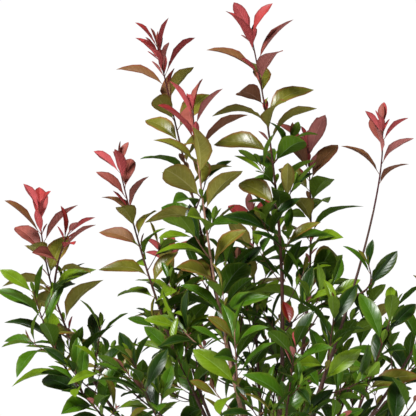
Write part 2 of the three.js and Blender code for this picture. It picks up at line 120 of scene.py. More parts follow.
# What changes from a shoot's tip down over `by` leaves, and how far each leaf strays from it.
TURN = Row(step=137.5, stray=14)  # degrees round the stem
LEAN = Row(tip=28, base=48, by=12, stray=12)  # degrees off the stem
SIZE = Row(tip=0.70, base=1, by=3, stray=0.12)  # share of the shoot's leaf size
DROOP = Row(tip=0.08, base=0.34, by=9, stray=0.12)  # share of its length
INTERNODE = Row(tip=12, base=22, by=5, stray=0.2)  # from leaf to leaf
ROLL_STRAY = 52  # degrees about the midrib
FIRST_BUD = 3  # below the shoot's tip
LAST_BUD = 14  # above the shoot's leafless part
YOUNG_LEAVES = 6  # narrow ones at a shoot's tip

# How the leaves stand on each kind of shoot, and where its twigs are.
ON_LEADER = Row(spacing=1.0, lift=0.08, spread=1, width=1.06, droop=1, roll=1,
                twig_from=0.04, twig_step=0.13, twig_length=130, twig_leaves=5)
ON_SHOOT = Row(spacing=1.2, lift=0.14, spread=1.15, width=0.95, droop=1, roll=1,
               twig_from=0.15, twig_step=0.25, twig_length=105, twig_leaves=4)
ON_TWIG = Row(spacing=1.15, lift=0.2, spread=1.3, width=0.92, droop=1, roll=1,
              size=0.94, bare=0.2, turn_step=40)
TWIG_ANGLE = Row(lean=48, stray=10, turn=100, turn_stray=20, lift=0.5)
TWIG_SHORTER = 0.14  # each twig than the one below it
TWIG_STRAY = Row(place=0.02, length=0.2)

# The finest growth: sprigs of a few leaves along each leafy stem and twig, and how those stand.
SPRIG = Row(every=62, low=0.06, high=0.94, place_stray=0.3, turn_stray=60, lean=44,
            length=66, stray=0.35, lowest=1.2, shorter=0.5, leaves=5, size=0.88, bare=0.3, turn_step=57,
            spacing=0.75, lift=0.1, spread=1.4, width=0.87, droop=1.5, roll=0.5)
LEAST_ON_SPRIG = 2  # leaves that find room, or the sprig is left out
# Times that far apart on these shoots, or on all that these leaders carry.
OPENNESS = dict(
    centre_left=2, centre_right=2, upper_left=4, right=4, far_right=4, back_right=2, inner_right=4)

# Sprouts of tiny new leaves: at the end of each shoot, and in some leaves' corners.
SPROUT = Row(length=27, red_length=38, stray=0.45, lean=16, turn_stray=25, at_end=3,
             in_corner=2, chance=0.5, corner_lean=30, corner_turn=55)

LEAF = Row(width=0.43, young_width=0.36, widest=0.6, belly=0.3, thick=0.5, petiole=0.13,
           fold=math.radians(24))
BEND = 0.9  # how much more a leaf's outer half bends
FACING = Row(tip=0.6, up=0.6, out=-0.25)  # where a leaf's upper side looks
CLEAR = 0.6  # between a leaf or twig and another shoot
PARALLEL = 1e-6  # below it, the product of two edges shows no direction
RETRIES = [math.radians(turn) for turn in (0, 24, -24, 48, -48, 72, -72)]
ROOTED = Row(bough=0.05, shoot=0.06, twig=0.3)  # shares sunk in the limb that carries it
BOXES = Row(trunk=4, limb=6, twig=3, sprig=2)  # to the length of each
SEEDS = Row(leaves=500, sprig_leaves=900, sprouts=1300, sprigs=100)  # where each kind's draws start

HIGHLIGHT_WOOD = ("centre_left",)  # leaders whose bark is lighter all over: a painted highlight
# One old leaf that has turned red and hangs from its leader.
OLD_LEAF = Row(node="foliage_tall", share=0.41, azimuth=-72, lean=130, length=60, droop=0.12, width=0.46)


def unit(v):
    return v / np.linalg.norm(v)


def graded(row, k):
    """A habit's value at the k-th leaf from the tip."""
    return row.tip + (row.base - row.tip) * min(1, k / row.by)


class RandomSource:
    """A seeded source of even draws."""

    SPREAD, SHIFT = 7919, 12345  # from a seed to its first state
    FACTOR, MODULUS = 48271, 2 ** 31 - 1  # from one state to the next
    WARM_UP = 3  # draws that aren't used

    def __init__(self, seed):
        self.state = seed * self.SPREAD + self.SHIFT
        for _ in range(self.WARM_UP):
            self.draw()

    def draw(self):
        self.state = self.state * self.FACTOR % self.MODULUS
        return self.state / self.MODULUS

    def stray(self, k):
        return (2 * self.draw() - 1) * k


class Centreline:
    """A limb's bent centreline, read by the share of its length."""

    STEPS = 200
    SLANT = 0.8  # above it, a limb lies too nearly along X to be framed by X

    def __init__(self, foot, knee, tip, limb):
        self.foot, self.knee, self.tip = (np.array(spot, float) for spot in (foot, knee, tip))
        self.limb = limb
        self.ts = np.linspace(0, 1, self.STEPS + 1)
        runs = np.linalg.norm(np.diff(self.bend(self.ts[:, None]), axis=0), axis=1)
        self.arc = np.concatenate(([0.0], np.cumsum(runs)))
        self.length = self.arc[-1]
        clear_of_x = abs(unit(self.tip - self.foot)[0]) < self.SLANT
        self.reference = np.array([1.0, 0, 0] if clear_of_x else [0, 1.0, 0])
        self.normal = unit(np.cross(self.knee - self.foot, self.tip - self.knee))  # to the bend's plane

    def bend(self, t):
        return (1 - t) ** 2 * self.foot + 2 * t * (1 - t) * self.knee + t * t * self.tip

    def at(self, share):
        return np.interp(np.clip(share, 0, 1) * self.length, self.arc, self.ts)

    def point(self, share):
        return self.bend(self.at(share))

    def radius(self, share):
        limb = self.limb
        flare = limb.flare * math.exp(-share * self.length / limb.flare_height)
        return limb.top + (limb.foot - limb.top) * (1 - share) ** limb.taper + flare

    def frame(self, share):
        """The way along the limb, and two ways square to it."""
        t = self.at(share)
        along = unit((self.knee - self.foot) * (1 - t) + (self.tip - self.knee) * t)
        back = unit(np.cross(along, self.reference))
        return along, np.cross(back, along), back

    def section(self, share):
        """Two ways square to the limb, which turn with its bend and never round it."""
        return self.normal, np.cross(self.frame(share)[0], self.normal)


def outward(axes, azimuth):
    return axes[1] * math.cos(azimuth) + axes[2] * math.sin(azimuth)


def leaning(axes, azimuth, angle):
    return axes[0] * math.cos(angle) + outward(axes, azimuth) * math.sin(angle)


@dataclass
class Bud:
    """Where a leaf grows, and how. Its width and droop are shares of its length."""
    path: Centreline
    share: float
    azimuth: float
    lean: float
    length: float
    width: float
    droop: float = 0
    roll: float = 0
    lift: float = 0
    rank: int = 0

    def __post_init__(self):
        self.at = self.path.point(self.share)
        self.axes = self.path.frame(self.share)
        self.radius = self.path.radius(self.share)


@dataclass
class Shoot:
    """A stretch of a stem with the buds on it."""
    path: Centreline
    start: float = 0
    end: float = 1
    buds: list = field(default_factory=list)


@dataclass
class Leaf:
    """A leaf's bud and its three ways."""
    bud: Bud
    along: np.ndarray
    face: np.ndarray
    side: np.ndarray
    tone: str = "mid"


@dataclass
class Mass:
    """All that replaces one foliage solid, and the row of its leader or side shoot."""
    node: str
    row: tuple
    leader: str
    stem: Shoot
    seed: int
    red: bool = False
    hosted: bool = False
    twigs: list = field(default_factory=list)
    sprigs: list = field(default_factory=list)
    leaves: list = field(default_factory=list)

    def shoots(self):
        return self.stem, *self.twigs, *self.sprigs


def buds_on(path, bare, count, size, turn, habit, random):
    """The buds of a shoot from its tip down."""
    buds = []
    down = FIRST_BUD
    while len(buds) < count and down < path.length * (1 - bare) - LAST_BUD:
        k = len(buds)
        width = LEAF.young_width if k < YOUNG_LEAVES else LEAF.width
        buds.append(Bud(
            path,
            1 - down / path.length,
            azimuth=math.radians(turn + k * TURN.step + random.stray(TURN.stray)),
            lean=math.radians(graded(LEAN, k) * habit.spread + random.stray(LEAN.stray)),
            length=size * graded(SIZE, k) * (1 + random.stray(SIZE.stray)),
            droop=(graded(DROOP, k) + random.stray(DROOP.stray)) * habit.droop,
            roll=math.radians(random.stray(ROLL_STRAY)) * habit.roll,
            width=width * habit.width,
            lift=habit.lift,
            rank=k,
        ))
        down += habit.spacing * graded(INTERNODE, k) * (1 + random.stray(INTERNODE.stray))
    return buds


def twig_path(path, share, turn, lean, length, limb):
    """A twig's centreline: it leaves its stem at a lean and turns up at its middle."""
    way = leaning(path.frame(share), math.radians(turn), math.radians(lean))
    foot = path.point(share)
    knee = foot + way * length / 2
    return Centreline(foot, knee, knee + unit(way + UP * TWIG_ANGLE.lift) * length / 2, limb)


def twigs_on(path, bare, row, habit, random):
    """The twigs on a shoot's leafy part, each with its own buds."""
    twigs = []
    for j in range(row.twigs):
        share = bare + (1 - bare) * (habit.twig_from + habit.twig_step * j)
        share += random.stray(TWIG_STRAY.place)
        turn = row.turn + TWIG_ANGLE.turn + j * TURN.step + random.stray(TWIG_ANGLE.turn_stray)
        lean = TWIG_ANGLE.lean + random.stray(TWIG_ANGLE.stray)
        length = habit.twig_length * (1 - TWIG_SHORTER * j) * (1 + random.stray(TWIG_STRAY.length))
        twig = twig_path(path, share, turn, lean, length, TWIG)
        size, start = row.size * ON_TWIG.size, row.turn + ON_TWIG.turn_step * j
        buds = buds_on(twig, ON_TWIG.bare, habit.twig_leaves, size, start, ON_TWIG, random)
        twigs.append(Shoot(twig, buds=buds))
    return twigs


def sprigs_on(shoot, size, seed, every):
    """Fine sprigs along the old wood of a stem or twig, each with a few leaves."""
    random = RandomSource(seed)
    span = (shoot.end - shoot.start) * shoot.path.length
    sprigs = []
    for j in range(int(span * (SPRIG.high - SPRIG.low) / every)):
        at = SPRIG.low + (j + 0.5 + random.stray(SPRIG.place_stray)) * every / span
        share = shoot.start + (shoot.end - shoot.start) * at
        turn = j * TURN.step + random.stray(SPRIG.turn_stray)
        lean = SPRIG.lean + random.stray(TWIG_ANGLE.stray)
        length = SPRIG.length * (SPRIG.lowest - SPRIG.shorter * at) * (1 + random.stray(SPRIG.stray))
        sprig = twig_path(shoot.path, share, turn, lean, length, SPRIG_WOOD)
        buds = buds_on(
            sprig, SPRIG.bare, SPRIG.leaves, size * SPRIG.size, SPRIG.turn_step * j, SPRIG, random)
        sprigs.append(Shoot(sprig, buds=buds))
    return sprigs


def sprouts_on(shoot, length, random):
    """Buds of tiny leaves: round a shoot's end, and in some of its leaves' corners."""
    buds = []

    def sprout(share, azimuth, lean, count):
        for k in range(count):
            buds.append(Bud(
                shoot.path,
                share,
                azimuth=azimuth + math.radians(k * TURN.step + random.stray(SPROUT.turn_stray)),
                lean=math.radians(lean * (1 + random.stray(SPROUT.stray))),
                length=length * (1 + random.stray(SPROUT.stray)),
                width=LEAF.young_width,
            ))

    if shoot.end == 1:
        sprout(1, 0, SPROUT.lean, SPROUT.at_end)
    for bud in shoot.buds[1:]:
        if random.draw() < SPROUT.chance:
            azimuth = bud.azimuth + math.radians(SPROUT.corner_turn)
            sprout(bud.share, azimuth, SPROUT.corner_lean, SPROUT.in_corner)
    return buds


# ---- What fits ----

class Hull:
    """A small convex shape: its corners, the ways of its edges and the ways its faces point."""

    def __init__(self, points, edges, normals):
        self.points, self.edges, self.normals = (np.array(rows) for rows in (points, edges, normals))
        self.centre = self.points.mean(axis=0)
        self.reach = np.linalg.norm(self.points - self.centre, axis=1).max()


# By a leaf's five corners: its root, its two widest places, its tip and its belly.
LEAF_EDGES = np.array([(0, 1), (0, 2), (0, 4), (3, 1), (3, 2), (3, 4), (1, 2), (1, 4), (2, 4)])
LEAF_FACES = np.array([(0, 1, 2), (3, 1, 2), (0, 1, 4), (0, 2, 4), (3, 1, 4), (3, 2, 4)])


def bent(share):
    """How far a midrib has bent at a share of its length: most near its tip."""
    return share ** 2 * (1 + BEND * (share - 0.5))


def rib_point(leaf, share, up=0.0, across=0.0):
    """A point over a leaf's midrib, which bends away from its upper side."""
    bud = leaf.bud
    return (bud.at + leaf.along * bud.length * share
            + leaf.face * (up - bud.droop * bud.length * bent(share)) + leaf.side * across)


def leaf_hull(leaf, cut):
    """The hull of a leaf beyond its first share `cut`."""
    bud = leaf.bud
    half = bud.width * bud.length / 2
    rise, wide = half * math.sin(LEAF.fold), half * math.cos(LEAF.fold)
    tip = rib_point(leaf, 1)
    points = np.array([
        bud.at + (tip - bud.at) * cut,
        rib_point(leaf, LEAF.widest, rise, wide),
        rib_point(leaf, LEAF.widest, rise, -wide),
        tip,
        rib_point(leaf, LEAF.belly, -LEAF.thick),
    ])
    edges = points[LEAF_EDGES[:, 1]] - points[LEAF_EDGES[:, 0]]
    a, b, c = (points[LEAF_FACES[:, i]] for i in range(3))
    return Hull(points, edges, np.cross(b - a, c - a))


def limb_boxes(path, start, end, count):
    """Boxes round a stretch of a limb."""
    boxes = []
    shares = [start + (end - start) * n / count for n in range(count + 1)]
    for low, high in zip(shares, shares[1:]):
        ends = path.point(low), path.point(high)
        radius = path.radius(low)
        along = unit(ends[1] - ends[0])
        back = unit(np.cross(along, path.reference))
        right = np.cross(back, along)
        points = [spot + right * x * radius + back * y * radius
                  for spot in ends for x in (-1, 1) for y in (-1, 1)]
        boxes.append(Hull(points, [along, right, back], [along, right, back]))
    return boxes


def apart(a, b, gap):
    """Whether some direction shows at least `gap` between two hulls."""
    crosses = np.cross(a.edges[:, None], b.edges[None]).reshape(-1, 3)
    axes = np.concatenate((a.normals, b.normals, crosses))
    sizes = np.linalg.norm(axes, axis=1)
    real = sizes > PARALLEL
    axes = axes[real] / sizes[real, None]
    span_a, span_b = axes @ a.points.T, axes @ b.points.T
    gaps = np.maximum(span_a.min(1) - span_b.max(1), span_b.min(1) - span_a.max(1))
    return gaps.max() > gap


class Standing:
    """What stands so far: each node's hulls, whole for the other nodes and outer for its own."""

    ROOM = 12000  # more hulls than ever stand

    def __init__(self):
        self.rows = []
        self.centres = np.zeros((self.ROOM, 3))
        self.reaches = np.zeros(self.ROOM)

    def fits(self, node, whole, outer):
        count = len(self.rows)
        far = np.linalg.norm(self.centres[:count] - whole.centre, axis=1)
        near = np.nonzero(far < self.reaches[:count] + whole.reach + CLEAR)[0]
        for other, other_whole, other_outer in (self.rows[i] for i in near):
            if other == node:
                clear = apart(outer, other_outer, 0)
            else:
                clear = apart(whole, other_whole, CLEAR)
            if not clear:
                return False
        return True

    def add(self, node, whole, outer=None):
        self.centres[len(self.rows)] = whole.centre
        self.reaches[len(self.rows)] = whole.reach
        self.rows.append((node, whole, outer or whole))


def leaf_at(bud, turn):
    """A bud's leaf, when it is turned by an angle round its stem."""
    azimuth = bud.azimuth + turn
    along = unit(leaning(bud.axes, azimuth, bud.lean) + UP * bud.lift)
    face = FACING.tip * bud.axes[0] + FACING.up * UP + FACING.out * outward(bud.axes, azimuth)
    face = unit(face - along * face.dot(along))
    face = face * math.cos(bud.roll) + np.cross(along, face) * math.sin(bud.roll)
    return Leaf(bud, along, face, np.cross(face, along))


def unfold(standing, node, bud):
    """A bud's leaf at the first turn where it touches nothing, or None."""
    for turn in RETRIES:
        leaf = leaf_at(bud, turn)
        whole = leaf_hull(leaf, 0)
        outer = leaf_hull(leaf, max(LEAF.petiole, 2 * bud.radius / bud.length))
        if standing.fits(node, whole, outer):
            standing.add(node, whole, outer)
            return leaf
    return None


def keep_fitting(standing, node, twigs, boxes):
    """The twigs that touch nothing."""
    kept = []
    for twig in twigs:
        whole = limb_boxes(twig.path, 0, 1, boxes)
        outer = limb_boxes(twig.path, ROOTED.twig, 1, 1)[0]
        if all(standing.fits(node, box, outer) for box in whole):
            for i, box in enumerate(whole):
                standing.add(node, box, box if i else outer)
            kept.append(twig)
    return kept


# ---- Tones ----

# What has each tone, and the colours of its upper side and its underside.
TONES = dict(
    crimson=("Newest leaves", (0.31, 0.028, 0.026), (0.42, 0.075, 0.08)),
    rose=("Young leaves", (0.24, 0.058, 0.042), (0.40, 0.14, 0.13)),
    bronze=("Leaves that turn from red to green", (0.15, 0.066, 0.020), (0.195, 0.085, 0.052)),
    olive=("Leaves that have just turned green", (0.120, 0.118, 0.011), (0.235, 0.215, 0.045)),
    fresh=("Light green leaves", (0.110, 0.186, 0.004), (0.122, 0.205, 0.02)),
    mid=("Grown leaves", (0.039, 0.102, 0.002), (0.055, 0.113, 0.008)),
    # The deep tone is partly the darker green of old leaves and partly painted shade: near black, it stands
    # for the shade inside the lower crown.
    deep=("Old inner leaves", (0.009, 0.031, 0.001), (0.023, 0.054, 0.003)),
    scarlet=("The old leaf that hangs", (0.13, 0.005, 0.004), (0.18, 0.015, 0.012)),
)
REST = math.inf

# Each row holds until its rank from a red tip down, and each tone of it up to its share.
TIP_TONES = (
    (3, dict(crimson=0.8, rose=1)),
    (5, dict(crimson=0.35, rose=0.8, bronze=1)),
    (REST, dict(rose=0.35, bronze=0.85, olive=1)),
)
# The same by ranks below the red tip.
STEM_TONES = (
    (3, dict(bronze=0.35, olive=0.9, fresh=1)),
    (8, dict(olive=0.55, fresh=0.85, mid=1)),
    (12, dict(olive=0.15, fresh=0.45, mid=0.85, deep=1)),
    (REST, dict(fresh=0.14, mid=0.55, deep=1)),
)
# The same on twigs, sprigs and side shoots.
SIDE_TONES = (
    (2, dict(olive=0.05, fresh=0.36, mid=0.76, deep=1)),
    (REST, dict(crimson=0.002, bronze=0.02, olive=0.04, fresh=0.18, mid=0.55, deep=1)),
)
# Low twigs and sprigs take many deep leaves and high ones few: painted shade on the lower crown, lighter
# leaves at the top.
HIGH = 740  # above it, those have these tones instead
HIGH_TONES = ((REST, dict(olive=0.25, fresh=0.6, mid=0.93, deep=1)),)
# Sprouts on red wood, on a leader below it, and on any other shoot.
RED_SPROUTS = dict(crimson=0.7, rose=1)
STEM_SPROUTS = dict(crimson=0.15, rose=0.4, bronze=0.65, fresh=1)
SIDE_SPROUTS = dict(rose=0.03, bronze=0.1, olive=0.3, fresh=1)


def drawn_tone(shares, random):
    draw = random.draw()
    return next(tone for tone, share in shares.items() if draw < share)


def tone_leaves(mass, leaves, on_stem, random):
    """Gives leaves their tones, by their ranks from the tip."""
    for leaf in leaves:
        rank = leaf.bud.rank
        if mass.red:
            table = TIP_TONES
        elif on_stem and not mass.hosted and mass.row.young:
            table = STEM_TONES
            rank -= mass.row.young
        else:
            # Above HIGH, fewer leaves take the deep tone's painted shade.
            table = HIGH_TONES if leaf.bud.at[2] > HIGH else SIDE_TONES
        leaf.tone = drawn_tone(next(shares for until, shares in table if rank < until), random)


# ---- Growth ----

def shoot_growth(seed, row, host, at, limb, bare, habit):
    """A leader's or side shoot's centreline, its buds and its twigs."""
    random = RandomSource(seed)
    path = Centreline(host.point(at), row.knee, row.tip, limb)
    buds = buds_on(path, bare, row.leaves, row.size, row.turn, habit, random)
    return path, buds, twigs_on(path, bare, row, habit, random)


def leader_growth(number, row, trunk):
    """A leader's bough, and its masses: the leafy stem with its twigs, and the red tip."""
    at = row.foot / TRUNK_LINE.tip[2]
    path, buds, twigs = shoot_growth(row.seed, row, trunk, at, LEADER, row.bare, ON_LEADER)
    red, green = buds[:row.young], buds[row.young:]
    split = 1 if green else row.bare
    if red and green:
        between = (red[-1].at + green[0].at) / 2
        split = 1 - np.linalg.norm(between - path.tip) / path.length
    masses = []
    if green:
        stem = Shoot(path, row.bare, split, green)
        masses.append(Mass(f"foliage_{row.name}", row, row.name, stem, number, twigs=twigs))
    if red:
        masses.append(Mass(f"tip_{row.name}", row, row.name, Shoot(path, split, 1, red), number, red=True))
    return Shoot(path, 0, row.bare), masses


def side_growth(number, row, host):
    """A side shoot's mass."""
    path, buds, twigs = shoot_growth(number, row, host, row.at, SHOOT, SHOOT_BARE, ON_SHOOT)
    return Mass(f"shoot_{row.name}", row, row.host, Shoot(path, buds=buds), number,
                red=row.young > 0, hosted=True, twigs=twigs)


def stand_limbs(standing, trunk, boughs, masses):
    """Stands up all stems, which twigs and leaves have to clear."""
    limbs = [("trunk", trunk, 0, 1, BOXES.trunk)]
    for name, bough in boughs.items():
        limbs.append((f"bough_{name}", bough.path, ROOTED.bough, bough.end, BOXES.limb))
    for mass in masses:
        start = ROOTED.shoot if mass.hosted else mass.stem.start
        limbs.append((mass.node, mass.stem.path, start, mass.stem.end, BOXES.limb))
    for node, *stretch in limbs:
        for box in limb_boxes(*stretch):
            standing.add(node, box)


def unfold_all(standing, mass, buds):
    """The leaves of all buds that find room for one."""
    return [leaf for bud in buds if (leaf := unfold(standing, mass.node, bud))]


def grow_old_leaf(standing, masses):
    """Hangs up the old red leaf."""
    host = next(mass for mass in masses if mass.node == OLD_LEAF.node)
    bud = Bud(host.stem.path, OLD_LEAF.share, math.radians(OLD_LEAF.azimuth), math.radians(OLD_LEAF.lean),
              OLD_LEAF.length, OLD_LEAF.width, OLD_LEAF.droop)
    for leaf in unfold_all(standing, host, [bud]):
        leaf.tone = "scarlet"
        host.leaves.append(leaf)


def grow_leaves(standing, mass):
    """Unfolds the leaves of a mass's stem and twigs."""
    random = RandomSource(SEEDS.leaves + mass.seed)
    for shoot in mass.shoots():
        grown = unfold_all(standing, mass, shoot.buds)
        tone_leaves(mass, grown, shoot is mass.stem, random)
        mass.leaves += grown


def grow_sprigs(standing, mass):
    """Adds sprigs with their leaves to a green mass's stem and twigs."""
    random = RandomSource(SEEDS.sprig_leaves + mass.seed)
    every = SPRIG.every * OPENNESS.get(mass.row.name, OPENNESS.get(mass.leader, 1))
    for j, shoot in enumerate(mass.shoots()):
        sprigs = sprigs_on(shoot, mass.row.size, SEEDS.sprigs * mass.seed + j, every)
        for sprig in keep_fitting(standing, mass.node, sprigs, BOXES.sprig):
            grown = unfold_all(standing, mass, sprig.buds)
            if len(grown) >= LEAST_ON_SPRIG:
                tone_leaves(mass, grown, False, random)
                mass.leaves += grown
                mass.sprigs.append(sprig)


def grow_sprouts(standing, mass):
    """Adds sprouts to a mass's stem, twigs and sprigs."""
    random = RandomSource(SEEDS.sprouts + mass.seed)
    length = SPROUT.red_length if mass.red else SPROUT.length
    for shoot in mass.shoots():
        on_leader = shoot is mass.stem and not mass.hosted
        shares = RED_SPROUTS if mass.red else STEM_SPROUTS if on_leader else SIDE_SPROUTS
        for leaf in unfold_all(standing, mass, sprouts_on(shoot, length, random)):
            leaf.tone = drawn_tone(shares, random)
            mass.leaves.append(leaf)


def grow():
    """The trunk's line, the boughs and the masses, with all that fits on them."""
    trunk = Centreline(TRUNK_LINE.foot, TRUNK_LINE.knee, TRUNK_LINE.tip, TRUNK)
    boughs, masses = {}, []
    for number, row in enumerate(LEADERS, 1):
        boughs[row.name], grown = leader_growth(number, row, trunk)
        masses += grown
    for number, row in enumerate(SIDE_SHOOTS, len(LEADERS) + 1):
        masses.append(side_growth(number, row, boughs[row.host].path))
    standing = Standing()
    stand_limbs(standing, trunk, boughs, masses)
    for mass in masses:
        mass.twigs = keep_fitting(standing, mass.node, mass.twigs, BOXES.twig)
    grow_old_leaf(standing, masses)
    for mass in masses:
        grow_leaves(standing, mass)
    for mass in masses:
        if not mass.red:
            grow_sprigs(standing, mass)
    for mass in masses:
        grow_sprouts(standing, mass)
    return trunk, boughs, masses


TRUNK_PATH, BOUGHS, MASSES = grow()

# ---- Node groups and materials ----


def new_group(name, colours, numbers, results):
    """A shader node group and its two ends: it gives a colour and the numbers of its results."""
    group = bpy.data.node_groups.new(name, "ShaderNodeTree")
    for sockets, kind, way in (
        (colours, "Color", "INPUT"), (numbers, "Float", "INPUT"),
        (["Color"], "Color", "OUTPUT"), (results, "Float", "OUTPUT"),
    ):
        for socket in sockets:
            group.interface.new_socket(socket, in_out=way, socket_type=f"NodeSocket{kind}")
    return group, group.nodes.new("NodeGroupInput").outputs, group.nodes.new("NodeGroupOutput").inputs


class Wiring:
    """Short ways to add and link nodes in one tree."""

    def __init__(self, tree):
        self.tree = tree

    def feed(self, inputs, values):
        """Gives inputs, by name or place, a value or a link each."""
        for socket, value in dict(values).items():
            if isinstance(value, bpy.types.NodeSocket):
                self.tree.links.new(value, inputs[socket])
            else:
                inputs[socket].default_value = value

    def node(self, kind, values=(), **settings):
        made = self.tree.nodes.new(f"ShaderNode{kind}")
        for key, value in settings.items():
            setattr(made, key, value)
        self.feed(made.inputs, values)
        return made

    def math(self, operation, *values):
        return self.node("Math", enumerate(values), operation=operation).outputs[0]

    def times(self, a, b):
        return self.math("MULTIPLY", a, b)

    def plus(self, a, b):
        return self.math("ADD", a, b)

    def less(self, a, b):
        return self.math("SUBTRACT", a, b)

    def mix(self, factor, a, b):
        return self.node("Mix", {"Factor": factor, 6: a, 7: b}, data_type="RGBA").outputs[2]

    def scaled(self, colour, factor):
        return self.node("VectorMath", {0: colour, "Scale": factor}, operation="SCALE").outputs[0]

    def smooth(self, value, low, high, start=0.0, end=1.0):
        values = enumerate((value, low, high, start, end))
        return self.node("MapRange", values, interpolation_type="SMOOTHSTEP").outputs[0]

    def noise(self, vector, scale, detail=3.0, roughness=0.5):
        values = {"Vector": vector, "Scale": scale, "Detail": detail, "Roughness": roughness}
        return self.node("TexNoise", values).outputs["Fac"]


# The pattern on a blade, which is 1 wide and 1 long: its midrib's half width and how this narrows
# along it, its side veins' number, slant, width and where they fade, the margin's inner and outer
# sides and how it widens at the tip, two mottlings, and the relief of the web and the midrib.
VEINS = Row(midrib=0.06, narrowing=-0.035, count=9.0, slant=4.2, width=0.3, fade=(0.5, 0.36))
MARGIN = Row(sides=(0.3, 0.5), tip=(0.8, 1.0, 0.0, 0.2))
MOTTLING = Row(coarse=(38.0, 4.0, 0.6), fine=(260.0, 2.0), fine_share=0.4, mean=0.7, contrast=4.0,
               gloss=(0.3, 0.7))
HOLLOWS = Row(web=0.4, midrib=0.8)


def blade_group():
    """A leaf's colour and relief: pale midrib, side veins, tinted margin and soft mottling."""
    group, given, result = new_group(
        "Leaf blade", ("Blade", "Vein", "Margin"), ("Midrib", "Side veins", "Edge", "Mottle"),
        ("Height", "Gloss"))
    w = Wiring(group)
    across, along, _ = w.node("SeparateXYZ", {0: w.node("UVMap", uv_map="blade").outputs[0]}).outputs
    off = w.math("ABSOLUTE", w.less(across, 0.5))  # from the midrib
    half = w.math("MULTIPLY_ADD", along, VEINS.narrowing, VEINS.midrib)
    midrib = w.smooth(off, 0.0, half, 1.0, 0.0)
    phase = w.less(w.times(along, VEINS.count), w.times(off, VEINS.slant))
    wave = w.math("ABSOLUTE", w.math("SINE", w.times(phase, math.pi)))
    fade = w.smooth(off, *VEINS.fade)
    veins = w.times(w.smooth(wave, 0.0, VEINS.width, 1.0, 0.0), fade)
    lines = w.math("MAXIMUM", w.times(midrib, given["Midrib"]), w.times(veins, given["Side veins"]))
    veined = w.mix(lines, given["Blade"], given["Vein"])
    edge = w.smooth(w.plus(off, w.smooth(along, *MARGIN.tip)), *MARGIN.sides)
    edged = w.mix(w.times(edge, given["Edge"]), veined, given["Margin"])
    spots = w.node("TexCoord").outputs["Object"]
    mottle = w.noise(spots, *MOTTLING.coarse)
    fine = w.times(w.noise(spots, *MOTTLING.fine), MOTTLING.fine_share)
    shade = w.less(w.plus(mottle, fine), MOTTLING.mean)
    light = w.plus(w.times(shade, w.times(given["Mottle"], MOTTLING.contrast)), 1.0)
    dome = w.times(wave, w.times(fade, HOLLOWS.web))
    w.feed(result, {
        "Color": w.scaled(edged, light),
        "Height": w.less(dome, w.times(midrib, HOLLOWS.midrib)),
        "Gloss": w.smooth(mottle, *MOTTLING.gloss),
    })
    return group


# The pattern on bark: its grain's stretch, detail and roughness, which of it is cracked, its pores,
# which of them show, how pale and how proud they are, and its mottling.
SKIN = Row(stretch=(1, 1, 0.22), grain=(5.0, 0.65), cracked=(0.5, 0.36), pores=(420.0, 1.0),
           open=(0.66, 0.72), pale=0.7, proud=0.3, mottle=30.0, contrast=0.8, least=0.6)


def bark_group():
    """Bark's colour and relief: lengthways cracks, flecks and pale pores."""
    group, given, result = new_group("Bark", ("Skin", "Crack", "Pore"), ("Cracks", "Grain"), ("Height",))
    w = Wiring(group)
    spots = w.node("TexCoord").outputs["Object"]
    stretched = w.node("Mapping", {"Vector": spots, "Scale": SKIN.stretch}).outputs[0]
    grain = w.noise(stretched, given["Grain"], *SKIN.grain)
    cracks = w.times(w.smooth(grain, *SKIN.cracked), given["Cracks"])
    pores = w.smooth(w.noise(spots, *SKIN.pores), *SKIN.open)
    skin = w.mix(cracks, given["Skin"], given["Crack"])
    skin = w.mix(w.times(pores, SKIN.pale), skin, given["Pore"])
    light = w.plus(w.times(w.noise(spots, SKIN.mottle), SKIN.contrast), SKIN.least)
    height = w.plus(grain, w.times(pores, SKIN.proud))
    w.feed(result, {"Color": w.scaled(skin, light), "Height": height})
    return group


def new_material(name):
    """A node material, its wiring and its shader's inputs."""
    made = bpy.data.materials.new(name)
    made.use_nodes = True
    return made, Wiring(made.node_tree), made.node_tree.nodes["Principled BSDF"].inputs


def plain(name, value, roughness):
    """A material of one colour."""
    made, w, shader = new_material(name)
    w.feed(shader, {"Base Color": (*value, 1), "Roughness": roughness})
    return made


def patterned(name, group, values, roughness, specular, bump, distance):
    """A material with a shared group's colour and relief, and one roughness or a range by its gloss."""
    _, w, shader = new_material(name)
    pattern = w.node("Group", values, node_tree=group).outputs
    if isinstance(roughness, tuple):
        roughness = w.smooth(pattern["Gloss"], 0.0, 1.0, *roughness)
    relief = w.node("Bump", {"Strength": bump, "Distance": distance, "Height": pattern["Height"]})
    w.feed(shader, {
        "Base Color": pattern["Color"], "Roughness": roughness, "Specular IOR Level": specular,
        "Normal": relief.outputs["Normal"],
    })


def toned(colour, times, more=0.0):
    """A colour made brighter or darker."""
    return (*(min(1, part * times + more) for part in colour), 1)


# Each bark's setting and what has it, its colour, cracks, grain to a metre, roughness and relief.
Bark = namedtuple("Bark", "setting words colour cracks grain roughness relief")
BARKS = {
    "old bark": Bark("old", "Main stem", (0.16, 0.105, 0.07), 0.85, 170.0, 0.85, 0.0016),
    "bough bark": Bark("bough", "Boughs", (0.070, 0.034, 0.026), 0.4, 240.0, 0.62, 0.0007),
    "green stem": Bark("stem", "Stems of green leaves", (0.060, 0.024, 0.018), 0.25, 380.0, 0.5, 0.0004),
    # A lighter copy of the bough bark for one leader: a painted highlight, as if its bough and stems were
    # lit.
    "pale bark": Bark("pale", "Bleached bough and stems", (0.28, 0.155, 0.11), 0.35, 300.0, 0.55, 0.0005),
    "young stem": Bark("young", "Stems of red leaves", (0.062, 0.015, 0.018), 0.1, 380.0, 0.38, 0.0002),
}
BARK_BUMP = 0.6
BARK_SPECULAR = 0.25

